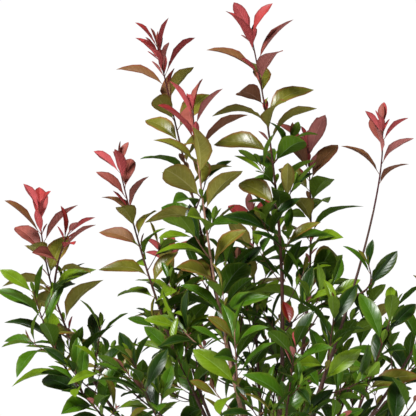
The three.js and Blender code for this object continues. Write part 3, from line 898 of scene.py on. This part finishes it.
# A leaf's two sides: how its veins differ from its blade, and how strong each part of the pattern is.
UPPER_SIDE = Row(bright=1.5, pale=0.045, midrib=0.8, veins=0.22, mottle=0.22, edge=1, specular=0.34)
UNDERSIDE = Row(bright=1.25, pale=0.06, midrib=0.9, veins=0.35, mottle=0.16, edge=0.7, specular=0.04)
YOUNG_GLOSS = (0.5, 0.64)
GROWN_GLOSS = (0.27, 0.42)
UNDER_ROUGHNESS = 0.62
LEAF_BUMP = 0.35
LEAF_RELIEF = 0.0010
# What tints the margins of the young leaves, and how much. The rest have the plain one.
MARGINS = dict(
    crimson=((0.10, 0.018, 0.016, 1), 0.6),
    rose=((0.09, 0.020, 0.016, 1), 0.6),
    bronze=((0.17, 0.030, 0.018, 1), 0.7),
    olive=((0.20, 0.055, 0.020, 1), 0.65),
)
PLAIN_MARGIN = ((0.13, 0.15, 0.02, 1), 0.3)


def blade_material(name, group, colour, tone, side, roughness):
    """One side of the leaves of one tone."""
    margin, edge = MARGINS.get(tone, PLAIN_MARGIN)
    patterned(name, group, {
        "Blade": (*colour, 1), "Vein": toned(colour, side.bright, side.pale), "Midrib": side.midrib,
        "Side veins": side.veins, "Margin": margin, "Edge": edge * side.edge, "Mottle": side.mottle,
    }, roughness, side.specular, LEAF_BUMP, LEAF_RELIEF)


# ---- Meshes ----

# A leaf is a loft of rings. Each ring: place along the leaf, and half width as a share of the
# widest. The first two belong to the petiole.
RINGS = (
    (0.0, 0.035), (0.13, 0.045), (0.24, 0.36), (0.38, 0.74),
    (0.53, 0.98), (0.67, 1.0), (0.80, 0.84), (0.92, 0.45))
ACROSS = (1.0, 0.5, 0.0, -0.5, -1.0, 0.0)  # round a ring: over the upper side, back by the midrib
UPPER = 4  # of a ring's six faces are on the upper side
PETIOLE = 2  # a face's part: 0 upper side, 1 underside, 2 petiole
# A blade's twist by its roll, the share of its length in which it opens, its waves and hollows by
# its half width, the waves' start by its azimuth and roll, its midrib and web by its thickness,
# and its petiole and narrowest ring.
BLADE = Row(twist=0.6, opens=0.1, wave=0.05, wave_step=17, wave_start=(7, 31), cup=0.10, rib=1.6,
            web=0.8, petiole=1.3, least=0.75, creased=math.radians(42))


def leaf_spots(leaves):
    """The corners of leaves' meshes, one row of corners to a leaf."""
    buds = [leaf.bud for leaf in leaves]
    root = np.array([bud.at for bud in buds])
    along, face, side = (
        np.array([getattr(leaf, way) for leaf in leaves]) for way in ("along", "face", "side"))
    length, droop, width, roll, azimuth = (
        np.array([[getattr(bud, size)] for bud in buds])
        for size in ("length", "droop", "width", "roll", "azimuth"))
    width = width * length / 2
    phase = azimuth * BLADE.wave_start[0] + roll * BLADE.wave_start[1]
    twist = roll * BLADE.twist
    spots = []
    for place, wide in RINGS:
        rise = max(0.0, place - LEAF.petiole)
        turn = twist * rise
        ways = side * np.cos(turn) + face * np.sin(turn)
        ups = face * np.cos(turn) - side * np.sin(turn)
        rib = root + along * (length * place) - face * (droop * length * bent(place))
        half = np.maximum(width * wide, BLADE.least)
        open_share = min(1.0, rise / BLADE.opens)
        for i, across in enumerate(ACROSS):
            if open_share:
                thick = LEAF.thick * (BLADE.rib if across == 0 else BLADE.web) * (abs(across) < 1)
            else:
                thick = BLADE.petiole * math.sqrt(1 - across * across)
            out = half * across * (1 - (1 - math.cos(LEAF.fold)) * open_share)
            lift = half * abs(across) * math.sin(LEAF.fold) * open_share
            waves = np.sin(phase + place * BLADE.wave_step + across)
            lift = lift + width * BLADE.wave * open_share * across ** 2 * waves
            if abs(across) == 0.5:  # half way out
                lift = lift + half * BLADE.cup * open_share
            lift = lift + (-thick / 2 if i > UPPER else thick / 2)
            spots.append(rib + ways * out + ups * lift)
    spots.append(root + along * length - face * (droop * length * bent(1)))
    return np.stack(spots, axis=1)


def leaf_faces():
    """A leaf's faces by their corners, each face's part, and each corner's place on the blade."""
    size = len(ACROSS)
    tip = len(RINGS) * size
    faces, parts = [], []
    for ring in range(len(RINGS)):
        for i in range(size):
            a, b = ring * size + i, ring * size + (i + 1) % size
            faces.append((a, b, b + size, a + size) if ring < len(RINGS) - 1 else (a, b, tip))
            parts.append(PETIOLE if ring == 0 else int(i >= UPPER))
    faces.append(tuple(reversed(range(size))))
    parts.append(PETIOLE)
    places = [((across + 1) / 2, place) for place, _ in RINGS for across in ACROSS]
    return faces, parts, [*places, (0.5, 1.0)]


def add_object(name, data):
    made = bpy.data.objects.new(name, data)
    bpy.context.scene.collection.objects.link(made)
    return made


def add_piece(name, spots, faces, slots, materials):
    """A smooth piece from corners in millimetres, with each face's material slot."""
    mesh = bpy.data.meshes.new(name)
    mesh.from_pydata((spots * MM).tolist(), [], faces)
    mesh.polygons.foreach_set("material_index", slots)
    mesh.polygons.foreach_set("use_smooth", [True] * len(faces))
    for material in materials:
        mesh.materials.append(bpy.data.materials[material])
    return add_object(name, mesh)


def leaves_piece(name, leaves):
    """One piece of closed leaves. Each tone has an upper and an under material."""
    spots = leaf_spots(leaves)
    count, per = spots.shape[:2]
    faces, parts, places = leaf_faces()
    tones = [tone for tone in TONES if any(leaf.tone == tone for leaf in leaves)]
    slots = [PETIOLE * len(tones) if part == PETIOLE else 2 * tones.index(leaf.tone) + part
             for leaf in leaves for part in parts]
    sides = [f"{tone} {side}" for tone in tones for side in ("leaf", "underside")]
    all_faces = [tuple(spot + per * k for spot in face) for k in range(count) for face in faces]
    made = add_piece(name, spots.reshape(-1, 3), all_faces, slots, [*sides, "petiole"])
    layer = made.data.uv_layers.new(name="blade")
    layer.data.foreach_set("uv", [part for face in faces for spot in face for part in places[spot]] * count)
    made.data.set_sharp_from_angle(angle=BLADE.creased)
    made.data.validate()
    return made


# A stem's sides, about how far apart its rings are, every other one's swelling, how far its foot
# goes in, and how many radii its end stands out.
STEM = Row(sides=7, ring=9, swelling=1.09, sunk=0.5, end=1.6)


def stem_spots(shoot):
    """A stem's rings, and the points that close its foot and its end."""
    path, start, end = shoot.path, shoot.start, shoot.end
    steps = max(3, round((end - start) * path.length / STEM.ring))
    angles = (np.arange(STEM.sides) * 2 * math.pi / STEM.sides)[:, None]
    rings = []
    for k, share in enumerate(start + (end - start) * np.linspace(0, 1, steps + 1)):
        right, back = path.section(share)
        radius = path.radius(share) * (1.0 if k % 2 else STEM.swelling)
        rings.append(path.point(share) + radius * (np.cos(angles) * right + np.sin(angles) * back))
    foot = path.point(start) - path.frame(start)[0] * STEM.sunk
    tip = path.point(end) + path.frame(end)[0] * path.radius(end) * STEM.end
    return [*np.concatenate(rings), foot, tip]


def stems_piece(name, shoots, materials):
    """One piece of closed tapered stems, each with its material's slot."""
    spots, faces, slots = [], [], []
    size = STEM.sides
    corners = [(i, (i + 1) % size) for i in range(size)]
    for shoot, slot in shoots:
        base = len(spots)
        spots += stem_spots(shoot)
        low, high = len(spots) - 2, len(spots) - 1
        top = low - size
        for ring in range(base, top, size):
            faces += [(ring + i, ring + j, ring + size + j, ring + size + i) for i, j in corners]
        for i, j in corners:
            faces += [(top + i, top + j, high), (base + j, base + i, low)]
        slots += [slot] * (len(faces) - len(slots))
    made = add_piece(name, np.array(spots), faces, slots, materials)
    made.data.validate()
    return made


# ---- Limbs ----

# Bark relief: each limb's shift, its ridges' and lumps' stretch, the share of each in its depth,
# and the lumps' roughness, spread and layers.
RELIEF = Row(shift=(3.7, 1.3), lengthways=0.16, lumps=0.25, ridge=0.7, lump=0.5, sunk=0.4,
             fractal=(0.6, 2.0, 3))
# The main stem's sides and rings, how these crowd at its foot, and its crown's insets in metres.
TRUNK_MESH = Row(sides=40, rings=44, crowded=1.25, crown=((0.003, 0.0015), (0.004, 0.0008)))
# A bough's rings, its foot's collar, its nodes, and its ridges and their depth by the main stem's.
BOUGH = Row(rings=46, collar=0.55, collar_length=16, node=0.05, node_every=21, node_power=6,
            resolution=4, ridges=1.6, depth=0.35)


def select_only(thing):
    bpy.ops.object.select_all(action="DESELECT")
    thing.select_set(True)
    bpy.context.view_layer.objects.active = thing


def settle(thing, name):
    """Puts a piece's place in its mesh and gives it its name."""
    select_only(thing)
    bpy.ops.object.transform_apply(location=True, rotation=True, scale=True)
    thing.name = name
    thing.data.name = name


def relief(thing, ridges, depth, seed):
    """Moves each vertex along its normal by bark ridges that run lengthways."""
    shift = Vector((seed * RELIEF.shift[0], seed * RELIEF.shift[1], 0))
    for vertex in thing.data.vertices:
        spot = vertex.co + shift
        long = Vector((spot.x * ridges, spot.y * ridges, spot.z * ridges * RELIEF.lengthways))
        ridge = 1 - abs(noise.noise(long)) * 2
        lump = noise.fractal(spot * ridges * RELIEF.lumps, *RELIEF.fractal)
        vertex.co += vertex.normal * (depth * (RELIEF.ridge * ridge + RELIEF.lump * lump - RELIEF.sunk))


def make_trunk(settings):
    """The main stem, extruded ring by ring from its flared foot to a rounded crown."""
    path = TRUNK_PATH
    shares = (np.arange(TRUNK_MESH.rings + 1) / TRUNK_MESH.rings) ** TRUNK_MESH.crowded
    bpy.ops.object.select_all(action="DESELECT")
    bpy.ops.mesh.primitive_circle_add(
        vertices=TRUNK_MESH.sides, radius=path.radius(0) * MM, fill_type="NGON",
        location=tuple(path.foot * MM))
    trunk = bpy.context.object
    bpy.ops.object.mode_set(mode="EDIT")
    bpy.ops.mesh.select_all(action="SELECT")
    for before, share in zip(shares, shares[1:]):
        step = (path.point(share) - path.point(before)) * MM
        bpy.ops.mesh.extrude_region_move(TRANSFORM_OT_translate={"value": tuple(step)})
        size = path.radius(share) / path.radius(before)
        bpy.ops.transform.resize(value=(size, size, size), center_override=tuple(path.point(share) * MM))
    for thickness, depth in TRUNK_MESH.crown:
        bpy.ops.mesh.inset(thickness=thickness, depth=depth)
    bpy.ops.mesh.select_all(action="SELECT")
    bpy.ops.mesh.normals_make_consistent(inside=False)
    bpy.ops.object.mode_set(mode="OBJECT")
    settle(trunk, "trunk_bark")
    relief(trunk, settings.ridges, settings.depth, 1)
    for vertex in trunk.data.vertices:
        vertex.co.z = max(vertex.co.z, 0.0)
    bpy.ops.object.shade_smooth()
    return trunk


def make_bough(name, bough, settings, seed):
    """A bough: a poly path with a collar at its foot, made a mesh and given its bark."""
    path = bough.path
    bpy.ops.object.select_all(action="DESELECT")
    bpy.ops.curve.primitive_nurbs_path_add()
    thing = bpy.context.object
    curve = thing.data
    curve.splines.clear()
    spline = curve.splines.new("POLY")
    spline.points.add(BOUGH.rings)
    for point, share in zip(spline.points, np.linspace(0, bough.end, BOUGH.rings + 1)):
        down = share * path.length
        collar = 1 + BOUGH.collar * math.exp(-down / BOUGH.collar_length)
        node = 1 + BOUGH.node * math.cos(down / BOUGH.node_every * 2 * math.pi) ** BOUGH.node_power
        point.co = (*(path.point(share) * MM), 1)
        point.radius = path.radius(share) * collar * node * MM
    curve.dimensions = "3D"
    curve.bevel_depth = 1
    curve.bevel_resolution = BOUGH.resolution
    curve.use_fill_caps = True
    thing.location = (0, 0, 0)
    select_only(thing)
    bpy.ops.object.convert(target="MESH")
    thing = bpy.context.object
    settle(thing, f"bough_bark_{name}")
    relief(thing, settings.ridges * BOUGH.ridges, settings.depth * BOUGH.depth, seed)
    bpy.ops.object.shade_smooth()
    return thing


# ---- Settings ----

def colour(label, value, words):
    return bpy.props.FloatVectorProperty(
        name=label, description=words, default=value, size=3, min=0, max=1, subtype="COLOR")


def number(label, value, words, **limits):
    return bpy.props.FloatProperty(name=label, description=words, default=value, **limits)


class BarkSettings(bpy.types.PropertyGroup):
    """Bark of the main stem, the boughs and the stems."""
    ridges: number("Ridges", 210, "Bark ridges to a metre round a limb", min=20, max=600)
    depth: number("Depth", 0.0012, "Depth of the main stem's bark ridges", min=0, max=0.005, unit="LENGTH")


for bark, row in BARKS.items():
    BarkSettings.__annotations__[row.setting] = colour(bark.capitalize(), row.colour, row.words)


class LeafSettings(bpy.types.PropertyGroup):
    """Upper sides and undersides of the leaves' eight tones, and their stalks."""
    petiole: colour("Leaf stalk", (0.17, 0.06, 0.03), "Stalks of all leaves")


for tone, (words, upper, under) in TONES.items():
    label = tone.capitalize()
    LeafSettings.__annotations__[tone] = colour(label, upper, words)
    LeafSettings.__annotations__[f"{tone}_under"] = colour(f"{label} underside", under, f"{words}, below")


class StageSettings(bpy.types.PropertyGroup):
    """Floor, lights and camera."""
    floor_radius: number("Floor radius", 2.6, "Radius of the round floor", min=1, max=3, unit="LENGTH")
    floor: colour("Floor", (0.82, 0.81, 0.79), "Pale floor")
    key_power: number("Key light", 365, "Power of the large soft light", min=0, unit="POWER")
    fill_power: number("Fill light", 30, "Power of the fill light", min=0, unit="POWER")
    rim_power: number("Rim light", 70, "Power of the light behind the shrub", min=0, unit="POWER")
    sky: colour("Sky", (1, 0.96, 0.88), "What lights the shrub from all round")
    sky_strength: number("Sky strength", 0.09, "Strength of that light", min=0, max=2)
    lens: number("Lens", 173, "The camera's focal length", min=20, max=400)


# ---- Operators ----

DARK_CRACK = 0.28  # of the bark's own colour
PALE_PORE = (2.2, 0.03)  # times the bark's colour, and more than that
STALK_ROUGHNESS = 0.45
FLOOR_ROUGHNESS = 0.8
FLOOR_SIDES = 96
FLOOR_PLACE = (0, 0, -0.0005)  # just under the main stem's flat foot
# Each lamp's size and place, and the point that all are aimed at.
LAMPS = dict(key=(1.6, (-1.9, -2.7, 3.6)), fill=(2.0, (2.8, -2.0, 1.6)), rim=(2.0, (0.5, 3.2, 2.6)))
LIT = Vector((0, 0, 0.6))
BACKDROP = 1.02  # strength of the sky as the camera sees it
CAMERA_PLACE = (-0.120, -4.0, 0.754)


class SHRUB_OT_materials(bpy.types.Operator):
    """Makes the bark and leaf materials"""
    bl_idname = "shrub.materials"
    bl_label = "Materials"

    def execute(self, context):
        bark, leaf = context.scene.shrub_bark, context.scene.shrub_leaf
        bark_nodes, blade_nodes = bark_group(), blade_group()
        for name, row in BARKS.items():
            skin = getattr(bark, row.setting)
            patterned(name, bark_nodes, {
                "Skin": (*skin, 1), "Crack": toned(skin, DARK_CRACK), "Pore": toned(skin, *PALE_PORE),
                "Cracks": row.cracks, "Grain": row.grain,
            }, row.roughness, BARK_SPECULAR, BARK_BUMP, row.relief)
        for tone in TONES:
            gloss = YOUNG_GLOSS if tone in ("crimson", "rose", "bronze") else GROWN_GLOSS
            upper, under = getattr(leaf, tone), getattr(leaf, f"{tone}_under")
            blade_material(f"{tone} leaf", blade_nodes, upper, tone, UPPER_SIDE, gloss)
            blade_material(f"{tone} underside", blade_nodes, under, tone, UNDERSIDE, UNDER_ROUGHNESS)
        plain("petiole", leaf.petiole, STALK_ROUGHNESS)
        return {"FINISHED"}


class SHRUB_OT_trunk(bpy.types.Operator):
    """Makes the main stem with its flared foot and cracked bark"""
    bl_idname = "shrub.trunk"
    bl_label = "Main stem"

    def execute(self, context):
        trunk = make_trunk(context.scene.shrub_bark)
        trunk.data.materials.append(bpy.data.materials["old bark"])
        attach(trunk, "root")
        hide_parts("trunk")
        return {"FINISHED"}


class SHRUB_OT_boughs(bpy.types.Operator):
    """Makes the twelve leafless boughs"""
    bl_idname = "shrub.boughs"
    bl_label = "Boughs"

    def execute(self, context):
        for seed, (name, bough) in enumerate(BOUGHS.items(), 2):
            made = make_bough(name, bough, context.scene.shrub_bark, seed)
            made.data.materials.clear()
            # That leader's bough gets the lighter bark with the painted highlight.
            skin = "pale bark" if name in HIGHLIGHT_WOOD else "bough bark"
            made.data.materials.append(bpy.data.materials[skin])
            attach(made, "root")
            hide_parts(f"bough_{name}")
        return {"FINISHED"}


class SHRUB_OT_stems(bpy.types.Operator):
    """Makes each leader's leafy stem with its side shoots, twigs and sprigs"""
    bl_idname = "shrub.stems"
    bl_label = "Stems and twigs"

    def execute(self, context):
        for name in BOUGHS:
            masses = [mass for mass in MASSES if mass.leader == name]
            shoots = [(shoot, int(mass.red)) for mass in masses for shoot in mass.shoots()]
            # That leader's stems get the lighter bark with the painted highlight.
            skin = "pale bark" if name in HIGHLIGHT_WOOD else "green stem"
            made = stems_piece(f"stems_{name}", shoots, (skin, "young stem"))
            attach(made, "root")
        return {"FINISHED"}


class SHRUB_OT_leaves(bpy.types.Operator):
    """Makes each leader's green leaves and its red ones"""
    bl_idname = "shrub.leaves"
    bl_label = "Leaves"

    def execute(self, context):
        for name in BOUGHS:
            for red in (False, True):
                masses = [mass for mass in MASSES if mass.leader == name and mass.red == red]
                leaves = [leaf for mass in masses for leaf in mass.leaves]
                if not leaves:
                    continue
                made = leaves_piece(f"{'red' if red else 'green'}_leaves_{name}", leaves)
                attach(made, "root")
                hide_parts(*(mass.node for mass in masses))
        return {"FINISHED"}


class SHRUB_OT_stage(bpy.types.Operator):
    """Makes the floor, the lights and the camera"""
    bl_idname = "shrub.stage"
    bl_label = "Stage"

    def execute(self, context):
        scene, stage = context.scene, context.scene.shrub_stage
        bpy.ops.object.select_all(action="DESELECT")
        bpy.ops.mesh.primitive_circle_add(
            vertices=FLOOR_SIDES, radius=stage.floor_radius, fill_type="NGON", location=FLOOR_PLACE)
        floor = bpy.context.object
        settle(floor, "floor")
        floor.data.materials.append(plain("floor", stage.floor, FLOOR_ROUGHNESS))

        for name, (size, place) in LAMPS.items():
            light = bpy.data.lights.new(name, "AREA")
            light.shape = "DISK"
            light.size = size
            light.energy = getattr(stage, f"{name}_power")
            lamp = add_object(name, light)
            lamp.location = place
            lamp.visible_glossy = name == "key"
            lamp.rotation_euler = (LIT - lamp.location).to_track_quat("-Z", "Y").to_euler()

        world = bpy.data.worlds.new("studio")
        world.use_nodes = True
        w = Wiring(world.node_tree)
        sky = world.node_tree.nodes["Background"]
        seen = w.node("LightPath").outputs["Is Camera Ray"]
        more = w.times(seen, BACKDROP - stage.sky_strength)
        w.feed(sky.inputs, {
            "Color": w.mix(seen, (*stage.sky, 1), (1, 1, 1, 1)),
            "Strength": w.plus(more, stage.sky_strength),
        })
        scene.world = world

        lens = bpy.data.cameras.new("camera")
        lens.lens = stage.lens
        lens.sensor_width = 36
        camera = add_object("camera", lens)
        camera.location = CAMERA_PLACE
        camera.rotation_euler = (math.radians(90), 0, 0)
        scene.camera = camera
        scene.view_settings.view_transform = "Standard"
        return {"FINISHED"}


class SHRUB_PT_panel(bpy.types.Panel):
    """The shrub's pieces and settings in the sidebar"""
    bl_idname = "SHRUB_PT_panel"
    bl_label = "Shrub"
    bl_space_type = "VIEW_3D"
    bl_region_type = "UI"
    bl_category = "Shrub"

    def draw(self, context):
        for operator in OPERATORS:
            self.layout.operator(operator.bl_idname)
        for key in SETTINGS:
            box = self.layout.box()
            group = getattr(context.scene, key)
            for prop in group.bl_rna.properties:
                if not prop.is_readonly and prop.identifier != "name":
                    box.prop(group, prop.identifier)


SETTINGS = {"shrub_bark": BarkSettings, "shrub_leaf": LeafSettings, "shrub_stage": StageSettings}
OPERATORS = (
    SHRUB_OT_materials, SHRUB_OT_trunk, SHRUB_OT_boughs, SHRUB_OT_stems, SHRUB_OT_leaves, SHRUB_OT_stage)


def register():
    for made in (*SETTINGS.values(), *OPERATORS, SHRUB_PT_panel):
        bpy.utils.register_class(made)
    for key, group in SETTINGS.items():
        setattr(bpy.types.Scene, key, bpy.props.PointerProperty(type=group))


def unregister():
    for key in SETTINGS:
        delattr(bpy.types.Scene, key)
    for made in (SHRUB_PT_panel, *reversed(OPERATORS), *SETTINGS.values()):
        bpy.utils.unregister_class(made)


def main():
    register()
    bpy.ops.shrub.materials()
    bpy.ops.shrub.trunk()
    bpy.ops.shrub.boughs()
    bpy.ops.shrub.stems()
    bpy.ops.shrub.leaves()
    bpy.ops.shrub.stage()


if __name__ == "__main__":
    main()
